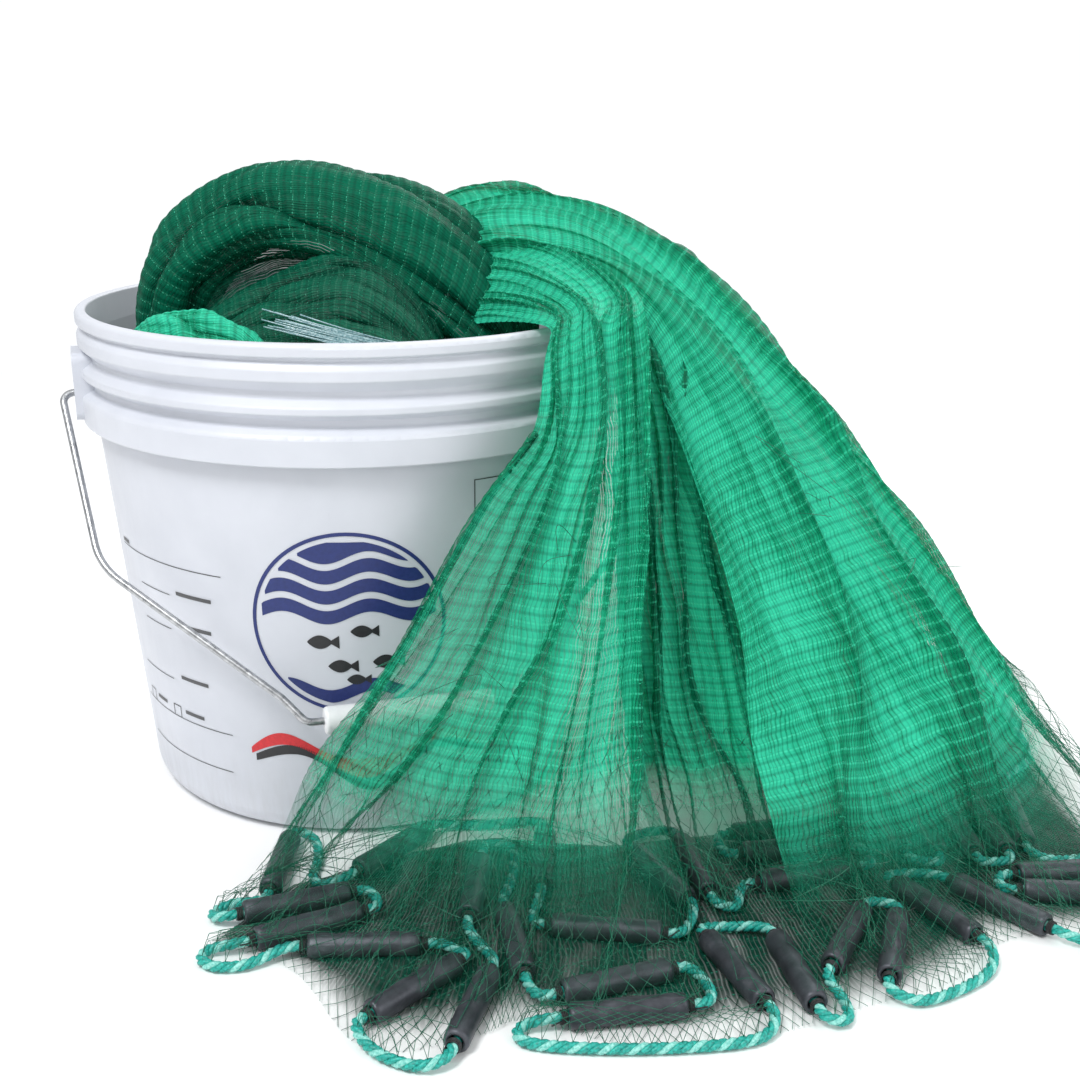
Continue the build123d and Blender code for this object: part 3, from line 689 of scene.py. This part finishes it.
# The swath that falls over the front of the rim, sheer at its left.
FRONT = [
    [(56, -50, 268), (86, -86, 282), (112, -118, 284), (112, -139, 270), (108, -152, 236),
     (86, -166, 205), (48, -178, 142), (6, -192, 86), (-16, -208, 42), (-40, -226, 12)],
    [(62, -38, 292), (94, -76, 296), (121, -114, 291), (122, -141, 278), (122, -160, 238),
     (106, -178, 202), (82, -197, 140), (48, -218, 80), (26, -240, 38), (8, -262, 10)],
    [(70, -26, 308), (106, -66, 308), (132, -108, 297), (134, -140, 283), (136, -164, 238),
     (130, -184, 198), (114, -208, 138), (94, -234, 80), (82, -262, 36), (70, -292, 10)],
    [(82, -14, 314), (120, -54, 312), (145, -100, 298), (147, -133, 284), (150, -160, 238),
     (148, -180, 198), (142, -204, 138), (134, -232, 80), (132, -264, 36), (128, -300, 10)],
    [(96, -2, 312), (136, -42, 310), (158, -90, 296), (160, -122, 284), (162, -148, 238),
     (162, -164, 198), (162, -182, 138), (166, -206, 80), (178, -244, 38), (190, -296, 10)],
]
# The shaded netting between the front swath and the cape.
VALLEY = [
    [(136, -96, 280), (146, -124, 262), (150, -140, 216), (152, -150, 160),
     (156, -166, 100), (166, -190, 50), (176, -224, 16)],
    [(152, -88, 284), (164, -112, 262), (172, -126, 212), (180, -138, 156),
     (190, -154, 98), (204, -182, 48), (216, -226, 16)],
    [(164, -78, 280), (180, -98, 254), (194, -112, 204), (208, -126, 150),
     (222, -146, 94), (240, -178, 46), (256, -226, 16)],
]
# The single layer at the far left of the front swath.
FLAP = [
    [(108, -150, 236), (84, -164, 204), (52, -176, 146), (18, -188, 92), (-6, -200, 48), (-22, -214, 16)],
    [(102, -152, 228), (70, -164, 184), (36, -174, 124), (6, -184, 74), (-20, -198, 36), (-44, -216, 12)],
]


# The edges of the netting that lies on the floor, from the left round to the back right.
HEM_OUTER = [(-50, -236), (-6, -258), (36, -316), (84, -306), (106, -296), (150, -312), (208, -306),
             (252, -288), (306, -262), (344, -226), (416, -214), (426, -150), (424, -60), (420, 60),
             (404, 140)]
HEM_INNER = [(-16, -182), (26, -156), (62, -136), (86, -132), (116, -134), (150, -136), (186, -130),
             (220, -122), (258, -108), (300, -92), (336, -82), (346, -60), (348, -10), (350, 60), (356, 120)]


def make_floor_net():
    """The dark gathered meshes that lie on the floor under and between the leads; their darkness is painted
    shade.
    """
    rails = []
    for number, (outer, inner) in enumerate(zip(HEM_OUTER, HEM_INNER)):
        way = np.array(outer) - np.array(inner)
        rails.append([(*(np.array(inner) + way * share), 1.6 + 0.8 * cos(5 * share + 2 * number))
                      for share in (0, 0.25, 0.5, 0.75, 1.0)])
    cloth_piece("net_floor_hem", rails, net_floor, [(19, 1.1), (47, 0.6)], 12, size=(300, 60), row=5.6,
                ripple=0.2, knot=knot_shaded, knot_gap=4.2, hem=30.0)


def make_netting():
    cloth_piece("net_arch", ARCH, net_emerald, [(5, 15.0), (12, 6.0), (31, 1.8)], 1, size=(190, 300), row=7.0,
                replaces=["net_crown"])
    cloth_piece("net_curtain", CURTAIN, net_shaded_inside, [(3, 9.0), (9, 4.0), (24, 1.2)], 2, size=(90, 190), row=6.4,
                knot=knot_shaded)
    cloth_piece("net_fold", FOLD, net_shaded_inside, [(4, 8.0), (11, 3.5), (28, 1.0)], 3, size=(140, 190), row=6.2,
                replaces=["net_inner_fold"], knot=knot_shaded)
    cloth_piece("net_tuft", TUFT, net_bright, [(3, 5.0), (8, 2.2), (20, 0.8)], 4, size=(80, 110), row=5.6,
                replaces=["net_rim_tuft"])
    cloth_piece("net_cape", CAPE, net_bright, [(5, 22.0), (13, 10.0), (34, 3.2), (71, 1.0)], 5,
                size=(320, 380), row=7.4, flare=(0.45, 1.1), hem=105.0,
                replaces=["net_right_fall", "net_hem_right", "net_hem_back"])
    cloth_piece("net_underlay", UNDERLAY, net_shade, [(4, 14.0), (11, 6.0), (29, 2.0)], 6,
                size=(160, 260), row=7.0, knot=knot_shaded, hem=80.0)
    cloth_piece("net_front", FRONT, net_bright, [(4, 16.0), (11, 8.0), (27, 3.0), (58, 1.0)], 7,
                size=(270, 340), row=5.6, flare=(0.35, 1.1), hem=118.0, thin_side=0.42,
                replaces=["net_front_fall", "net_hem_front"])
    cloth_piece("net_valley", VALLEY, net_shade, [(3, 12.0), (9, 6.0), (21, 2.4)], 8,
                size=(110, 220), row=6.2, hem=85.0, knot=knot_shaded)
    cloth_piece("net_flap", FLAP, net_thin, [(2, 5.0), (5, 2.5), (13, 0.8)], 9, size=(60, 200), row=5.6,
                hem=70.0, replaces=["net_left_flap"])


make_netting()
make_floor_net()

# ---------------------------------------------------------------- stowed heap
HEAP_RADIUS = 132.0
HEAP_TOP, HEAP_EDGE, HEAP_LOW = 206.0, 196.0, 150.0


def make_heap():
    """The stowed netting: coiled folds that fill the pail, as a rumpled round sheet whose edge turns down."""
    rails = []
    for turn in np.linspace(0, 2 * pi, 13):
        rail = []
        for reach in (0.05, 0.3, 0.55, 0.8, 0.97, 1.0):
            lump = 6 * sin(3 * turn + 5 * reach) + 4 * cos(5 * turn - 7 * reach)
            height = HEAP_TOP + lump if reach < 0.95 else HEAP_EDGE if reach < 1 else HEAP_LOW
            rail.append((HEAP_RADIUS * reach * cos(turn), HEAP_RADIUS * reach * sin(turn), height))
        rails.append(rail)
    cloth_piece("net_stow", rails, net_shaded_inside, [(9, 13.0), (23, 5.0)], 10, size=(260, 160), row=6.2,
                flare=(0.3, 0.6), replaces=["net_heap"], knot=knot_shaded)


make_heap()


# ---------------------------------------------------------------- lead line, leads and ties
LEAD_LENGTH = 54.0
LEAD_RADIUS = 6.2
LEAD_BORE = 3.4
LEAD_AXIS = 6.2
LEAD_SIDES = 28
STUB = 11.0
LOOP_HEIGHT = 3.0
STRAND_RADIUS = 1.42
STRAND_OFFSET = 1.40
ROPE_PITCH = 13.0
SPLICE_SHARE = 0.7
TIE_TURNS, TIE_POINTS = 4, 44
TIE_LENGTH, TIE_RADIUS = 3.2, 3.15
SPLICE_TURNS, SPLICE_POINTS = 22, 260
SPLICE_RADIUS, SPLICE_THREAD = 3.1, 0.45
THREAD_RADIUS = 0.42
THREAD_SIDES = 5
# What the rope passes, in order: a lead as (start x, start y, heading in degrees) with the stub lengths
# before and after it where they are not STUB, or a bend as (x, y).
LINE_ROUTE = [
    # outer folds, from the right-hand side round the front to the left
    (383, -84, -96.3), (388, -154), (416, -146), (434, -154),
    (416, -166, 186.3),
    (360, -188, -4.2), (428, -210), (412, -226), (385, -235),
    (362, -222, 130.5), (304, -166.5),
    (297, -184, -60), (326, -256), (306, -272), (284, -283),
    (274, -266, 73),
    (273, -209, -116.6), (251, -282), (250, -297),
    (236, -288, 100.7), (203, -220),
    (193, -236, -68.2), (213, -307), (196, -314), (150, -318), (112, -316), (101, -311), (102, -302),
    (124, -299, 9.6), (191, -274),
    (172, -262, 200.4),
    (104, -265, 100.7), (96, -182), (98, -160), (97, -140), (81, -138),
    (80, -163, -94.2), (84, -241),
    (88, -266, -104), (60, -332), (40, -322),
    (36, -298, 48, STUB, 9), (70, -242),
    (54, -242, 183), (-26, -257), (-42, -259), (-51, -252), (-48, -243),
    (-26, -239, 27.5),
    (14, -196, 201.8), (-54, -214), (-47, -202),
    (-27, -194, 88, STUB, 9), (-12, -133), (-7, -158), (-9, -174), (-3, -186),
    # inner folds, back to the right between the outer ones and the pail
    (16, -173, 53.6), (62, -118), (84, -117), (104, -112),
    (114, -132, -92), (107, -213),
    (117, -225, -6.5, 7, 7), (185, -222),
    (186, -199, 116.4, 8, STUB), (164, -127), (177, -122),
    (188, -140, -79.3), (212, -204),
    (225, -182, 16.6), (290, -152),
    (274, -143, 189.6),
    (218, -131, 11.7), (285, -102), (292, -88), (288, -71), (303, -70),
    (304, -94, -85),
    (326, -150, 90),
    (344, -96, -88),
    (364, -147, 94),
    # folds at the back right, under the netting
    (356, -58, 93, STUB, 6),
    (355, 14, 86, 6, 6),
    (357, 86, 92, 6, STUB),
    (377, 140, -92, STUB, 6),
    (377, 68, -86, 6, STUB),
    (398, 14, 88, STUB, 6),
    (397, 86, 93, 6, STUB),
    (416, 140, -88, STUB, 6),
    (420, 68, -93, 6, STUB), (418, -12), (410, -36), (392, -50),
]


LEADS = [entry for entry in LINE_ROUTE if len(entry) > 2]


def lead_frame(entry):
    """Where a lead starts and which way it points."""
    heading = np.array([cos(radians(entry[2])), sin(radians(entry[2])), 0])
    start = np.array([entry[0], entry[1], LEAD_AXIS], dtype=float)
    return start, heading


def rope_points():
    """The rope's control points: its loops lie on the floor, and it runs straight through each lead."""
    points = []
    for entry in LINE_ROUTE:
        if len(entry) == 2:
            points.append((entry[0], entry[1], LOOP_HEIGHT))
            continue
        before, after = entry[3:] if len(entry) == 5 else (STUB, STUB)
        start, heading = lead_frame(entry)
        for reach in (-before, 0, LEAD_LENGTH, LEAD_LENGTH + after):
            points.append(tuple(start + heading * reach))
    first, last = np.array(points[0]), np.array(points[-1])
    points.append(tuple(last + (first - last) * SPLICE_SHARE))
    return points


def spline_line(points, steps):
    """The smooth line of a NURBS spline with these control points, as an array of places in millimetres."""
    data = bpy.data.curves.new("route", "CURVE")
    data.dimensions = "3D"
    spline = data.splines.new("NURBS")
    spline.points.add(len(points) - 1)
    for point, place in zip(spline.points, points):
        point.co = (*(np.array(place) * MM), 1)
    spline.order_u = 3
    spline.use_endpoint_u = True
    spline.resolution_u = steps
    carrier = bpy.data.objects.new("route", data)
    mesh = bpy.data.meshes.new_from_object(carrier)
    line = np.array([vertex.co[:] for vertex in mesh.vertices]) / MM
    bpy.data.objects.remove(carrier)
    bpy.data.meshes.remove(mesh)
    bpy.data.curves.remove(data)
    return line


def even_line(line, gap):
    """The same line with its points about `gap` apart."""
    steps = np.linalg.norm(np.diff(line, axis=0), axis=1)
    reach = np.concatenate([[0], np.cumsum(steps)])
    places = np.linspace(0, reach[-1], int(reach[-1] / gap))
    return np.stack([np.interp(places, reach, line[:, axis]) for axis in range(3)], axis=1), places


def make_rope():
    """Three laid strands, two teal and one mint, that follow the lead line's smooth route."""
    line, places = even_line(spline_line(rope_points(), 8), 1.7)
    tangent = unit(np.gradient(line, axis=0))
    side = unit(np.cross(tangent, UP))
    up = np.cross(side, tangent)
    parts = []
    for number in range(3):
        turn = (2 * pi * (places / ROPE_PITCH + number / 3))[:, None]
        parts.append(tube(line + STRAND_OFFSET * (np.cos(turn) * side + np.sin(turn) * up), STRAND_RADIUS, 7))
    points, faces, owners = merge(parts)
    materials = [teal_fibre, mint_fibre]
    rope = new_piece("rope", points * MM, faces, materials,
                     indices=[owner // 2 for owner in owners])
    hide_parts("lead_line")
    return line


def make_lead(number, entry):
    """A cast lead tube: rolled ends, a mould seam, a crimp dent and a slightly uneven wall round its bore."""
    start, heading = lead_frame(entry)
    side = np.cross(heading, UP)
    dice = np.random.default_rng(300 + number)
    wall = LEAD_RADIUS - 0.04
    stations = [(0.0, LEAD_BORE + 0.5), (0.0, 5.0), (0.7, 5.9), (2.2, wall)]
    stations += [(reach, wall) for reach in np.linspace(5, LEAD_LENGTH - 5, 13)]
    stations += [(LEAD_LENGTH - 2.2, wall), (LEAD_LENGTH - 0.7, 5.9), (LEAD_LENGTH, 5.0),
                 (LEAD_LENGTH, LEAD_BORE + 0.5), (LEAD_LENGTH - 1.2, LEAD_BORE), (1.2, LEAD_BORE)]
    angle = np.linspace(0, 2 * pi, LEAD_SIDES, endpoint=False)
    crimp, roll = dice.uniform(14, 40), dice.uniform(0, 2 * pi)
    rings = []
    for reach, radius in stations:
        dent = 0.55 * np.exp(-(((reach - crimp) / 3.2) ** 2)) * np.maximum(np.cos(angle - roll), 0) ** 2
        seam = 0.28 * np.exp(-((np.angle(np.exp(1j * (angle - roll - 1.9))) / 0.12) ** 2))
        wobble = 0.10 * np.sin(3 * angle + reach / 6 + roll) + 0.06 * np.sin(5 * angle - reach / 4)
        reach_out = radius - (dent + seam + 0.10 + wobble * 0.6) * (radius > LEAD_BORE + 1)
        outward = np.cos(angle)[:, None] * side + np.sin(angle)[:, None] * UP
        rings.append(start + heading * reach + reach_out[:, None] * outward)
    count = len(stations)
    faces = []
    for ring in range(count):
        after = (ring + 1) % count
        for k in range(LEAD_SIDES):
            a, b, other = ring * LEAD_SIDES, after * LEAD_SIDES, (k + 1) % LEAD_SIDES
            faces.append((a + k, a + other, b + other, b + k))
    name = f"lead_{number:02d}"
    piece = new_piece(name + "_cast", np.concatenate(rings) * MM, faces, [lead_paint])
    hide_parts(name)


def make_ties():
    """Black thread whippings: turns of thread round the rope at both ends of every lead."""
    parts = []
    for number, entry in enumerate(LEADS):
        start, heading = lead_frame(entry)
        side = np.cross(heading, UP)
        dice = np.random.default_rng(500 + number)
        for foot, way in ((start, -1), (start + heading * LEAD_LENGTH, 1)):
            angle = np.linspace(0, 2 * pi * TIE_TURNS, TIE_POINTS)[:, None]
            reach = foot + heading * way * (0.5 + np.linspace(0, TIE_LENGTH, TIE_POINTS)[:, None])
            radius = TIE_RADIUS + 0.12 * np.sin(angle * 0.7 + dice.uniform(0, 6))
            turns = reach + radius * (np.cos(angle) * side + np.sin(angle) * UP)
            pull = heading * way * 5 + side * dice.uniform(-5, 5) + (0, 0, 1.5)
            tail = turns[-1] + np.linspace(0, 1, 6)[1:, None] * pull
            parts.append(tube(np.concatenate([turns, tail]), THREAD_RADIUS, THREAD_SIDES))
    points, faces, _ = merge(parts)
    new_piece("lead_ties", points * MM, faces, [tie_paint])


def make_splice():
    """The whipping that joins the two ends of the lead line's ring."""
    back, front = rope_line[-4], rope_line[3]
    way = front - back
    side = np.cross(way, UP) / np.linalg.norm(way)
    up = np.cross(side, way) / np.linalg.norm(way)
    share = np.linspace(0, 1, SPLICE_POINTS)[:, None]
    angle = 2 * pi * SPLICE_TURNS * share
    thread = back + way * share + SPLICE_RADIUS * (np.cos(angle) * side + np.sin(angle) * up)
    points, faces = tube(thread, SPLICE_THREAD, THREAD_SIDES)
    new_piece("rope_splice", points * MM, faces, [tie_paint])


BRAILS = 22
BRAIL_ROUTE = [(-23.2, 72, 229.5), (18, 72, 229.5), (62, 66, 232), (88, 36, 238), (96, -8, 246),
               (88, -54, 254), (68, -92, 262), (38, -116, 269), (4, -118, 277), (-28, -108, 284)]


def make_brails():
    """The brail lines: a loose bundle of thin translucent lines that fans out towards its front end."""
    line, places = even_line(spline_line(BRAIL_ROUTE, 12), 4.0)
    share = places / places[-1]
    dice = np.random.default_rng(70)
    parts = []
    for _ in range(BRAILS):
        reach, angle = 4.1 * np.sqrt(dice.uniform(0.02, 1)), dice.uniform(0, 2 * pi)
        fan = 0.55 + 0.5 * share + 0.5 * np.clip(share - 0.8, 0, 1) * 5
        wave = 0.5 * np.sin(places / dice.uniform(14, 30) + dice.uniform(0, 6))
        spread = reach * fan + wave
        turn = angle + 1.5 * share
        offset = np.stack([np.cos(turn) * spread, np.sin(turn) * spread * 0.4, np.sin(turn) * spread], axis=1)
        cut = len(line) - int(dice.integers(0, 5))
        parts.append(tube((line + offset)[:cut], THREAD_RADIUS, THREAD_SIDES))
    points, faces, _ = merge(parts)
    piece = new_piece("brail_strands", points * MM, faces, [brail_paint])
    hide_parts("brail_lines")


rope_line = make_rope()
for number, entry in enumerate(LEADS, start=1):
    make_lead(number, entry)
make_ties()
make_splice()
make_brails()


# ---------------------------------------------------------------- print on the pail
BASE_RADIUS, NECK_RADIUS, COLLAR_LOW = 126.5, 145.2, 217.0
PRINT_LIFT = 0.18


def on_wall(across, height):
    """A place on the pail's wall, `across` millimetres round it from the front."""
    radius = BASE_RADIUS + (NECK_RADIUS - BASE_RADIUS) * height / COLLAR_LOW + PRINT_LIFT
    return radius * np.sin(across / radius), -radius * np.cos(across / radius), height


def print_band(xs, low, high):
    """A printed band between two curves over the same places round the wall."""
    points, faces = [], []
    for x, a, b in zip(xs, low, high):
        base = len(points)
        for share in np.linspace(0, 1, 4):
            points.append(on_wall(x, a + (b - a) * share))
        if base:
            faces += [(base - 4 + k, base + k, base + k + 1, base - 3 + k) for k in range(3)]
    return np.array(points), faces


def rule(left, right, height, thick=0.5):
    xs = np.linspace(left, right, 24)
    return print_band(xs, np.full(24, height), np.full(24, height + thick))


def outline_box(left, right, low, high, thick=0.6):
    upright = [print_band(np.array([x, x + thick]), np.full(2, low), np.full(2, high + thick))
               for x in (left, right)]
    return upright + [rule(left, right, low, thick), rule(left, right, high, thick)]


def print_piece(name, parts, colour):
    points, faces, _ = merge(parts)
    worn = tuple(channel * 1.3 + 0.006 for channel in colour)
    ink = simple("ink_" + name, colour, worn, 500.0, 0.42, bump=0.04)
    new_piece("print_" + name, points * MM, faces, [ink])


def wave_band(middle, height, radius, low, high, swell=3.4):
    """A wavy band across a round badge, between two levels given as shares of its radius."""
    xs = np.linspace(-radius, radius, 81)[1:-1]
    edge = np.sqrt(radius**2 - xs**2)
    wave = swell * np.sin(xs / 7.2)
    bottom = np.maximum(low * radius + wave, -edge)
    top = np.minimum(high * radius + wave * (high < 0.9), edge)
    keep = top - bottom > 0.3
    return print_band(middle + xs[keep], height + bottom[keep], height + top[keep])


def plain_fish(middle, height, length):
    """A plain fish: a leaf-shaped body with a triangle for a tail."""
    body = np.linspace(0, 0.76, 20)
    tail = np.linspace(0.70, 1.0, 8)
    fat = 0.23 * length * np.sin(pi * body / 0.80) ** 0.8
    fan = 0.22 * length * (tail - 0.66) / 0.34
    return [print_band(middle + length * (body - 0.5), height - fat, height + fat),
            print_band(middle + length * (tail - 0.5), height - fan, height + fan)]


BADGE = (11.0, 130.0, 47.0)
NAVY = (0.010, 0.022, 0.130)
BLACK = (0.014, 0.014, 0.016)
RED = (0.56, 0.016, 0.022)
GREY = (0.060, 0.062, 0.066)


def make_print():
    """A round badge of waves and plain fish, a brush stroke, and a form of ruled lines, with no lettering."""
    middle, height, radius = BADGE
    navy = [wave_band(middle, height, radius, *levels)
            for levels in ((0.08, 0.24), (0.32, 0.48), (0.56, 0.72), (0.80, 0.98), (-0.90, -0.74))]
    ring = [on_wall(middle + size * cos(turn), height + size * sin(turn))
            for turn in np.linspace(0, 2 * pi, 90) for size in (radius + 2.5, radius + 4.5)]
    navy.append((np.array(ring), [(2 * k, 2 * k + 1, 2 * k + 3, 2 * k + 2) for k in range(89)]))
    print_piece("navy", navy, NAVY)
    xs = np.linspace(-48, 82, 100)
    swing = 50 + 9 * np.sin((xs + 48) / 13.5)
    body = 2.6 + 6.0 * np.sin((xs + 48) / 130 * pi) ** 0.7 * (0.6 + 0.4 * np.cos((xs + 40) / 9.0))
    black = [print_band(xs + 2.6, swing - body - 2.6, swing - body * 0.4)]
    for place, level, size in ((-14, -10, 17), (8, -4, 15), (-4, -24, 16), (20, -22, 17), (4, -32, 13)):
        black += plain_fish(middle + place, height + level, size)
    print_piece("black", black, BLACK)
    print_piece("red", [print_band(xs, swing - body * 0.4, swing + body)], RED)
    grey = [rule(-150 + 3 * k, -58 - 2 * k, level) for k, level in enumerate((152, 57, 33))]
    grey += [rule(-128, -98, 134), rule(-128, -100, 113), rule(-140, -104, 81)]
    grey += [rule(left, left + long, level + 1.5, 2.2) for left, long, level in
             ((-92, 26, 134), (-90, 22, 115), (-96, 22, 82), (-128, 12, 60), (-96, 16, 60), (-150, 10, 152))]
    grey += outline_box(-108, -101, 57, 64) + outline_box(-140, -133, 57, 64) + outline_box(80, 114, 186, 204)
    print_piece("grey", grey, GREY)


make_print()


# ---------------------------------------------------------------- skirt
SKIRT_STEP = 4
SKIRT_LEAN = 3
SKIRT_LONGEST = 150.0


def make_skirt():
    """The last meshes of the net: fine diamonds from every part of the lead line up to the gathered hem."""
    feet = rope_line[::SKIRT_STEP].copy()
    feet[:, 2] = np.where(feet[:, 2] > LEAD_AXIS - 0.05, 2 * LEAD_AXIS + 0.4, feet[:, 2] + 2.7)
    hems = np.concatenate(hem_rows)
    gaps = np.linalg.norm(feet[:, None, :2] - hems[None, :, :2], axis=2) + 0.25 * hems[None, :, 2]
    heads = hems[gaps.argmin(axis=1)]
    window = np.hanning(15) / np.hanning(15).sum()
    padded = np.concatenate([heads[-7:], heads, heads[:7]])
    heads = np.stack([np.convolve(padded[:, axis], window, "valid") for axis in range(3)], axis=1)
    t = np.linspace(0, 1, 8)[:, None]
    parts = []
    on_lead = feet[:, 2] > 2 * LEAD_AXIS
    for k in range(len(feet)):
        if on_lead[k] and k % 3:
            continue
        for lean in (-SKIRT_LEAN, SKIRT_LEAN):
            head = heads[(k + lean) % len(feet)]
            if np.linalg.norm(head - feet[k]) > SKIRT_LONGEST:
                continue
            strand = feet[k] * (1 - t) + head * t
            strand[:, 2] += 3.5 * np.sin(pi * t[:, 0])
            strand[1:, 2] = np.maximum(strand[1:, 2], 2 * LEAD_AXIS + 0.8)
            parts.append(tube(strand, TWINE_RADIUS, FINE_TWINE_SIDES))
    points, faces, _ = merge(parts)
    new_piece("net_skirt", points * MM, faces, [wisp_paint])


make_skirt()


# ---------------------------------------------------------------- loose strands
WISPS = 56


def make_wisps():
    """Broken and pulled strands that stand off the falls near the hem."""
    parts = []
    dice = np.random.default_rng(11)
    feet = [(0, -206, 60), (60, -240, 60), (110, -255, 48), (150, -262, 48), (190, -232, 60),
            (236, -226, 48), (280, -205, 60), (330, -176, 60), (372, -140, 60), (240, -128, 190),
            (300, -100, 160), (90, -202, 140), (120, -196, 180), (60, -196, 110)]
    for number in range(WISPS):
        foot = np.array(feet[number % len(feet)], dtype=float) + dice.normal(0, 12, 3)
        reach = dice.normal(0, 20, 3) + (0, -7, -10)
        bend = dice.normal(0, 8, 3)
        t = np.linspace(0, 1, 12)[:, None]
        strand = foot + reach * t + bend * np.sin(pi * t) * (1 + t)
        strand[:, 2] = np.maximum(strand[:, 2], 1.0)
        parts.append(tube(strand, TWINE_RADIUS, 4))
    points, faces, _ = merge(parts)
    new_piece("net_wisps", points * MM, faces, [wisp_paint])


make_wisps()
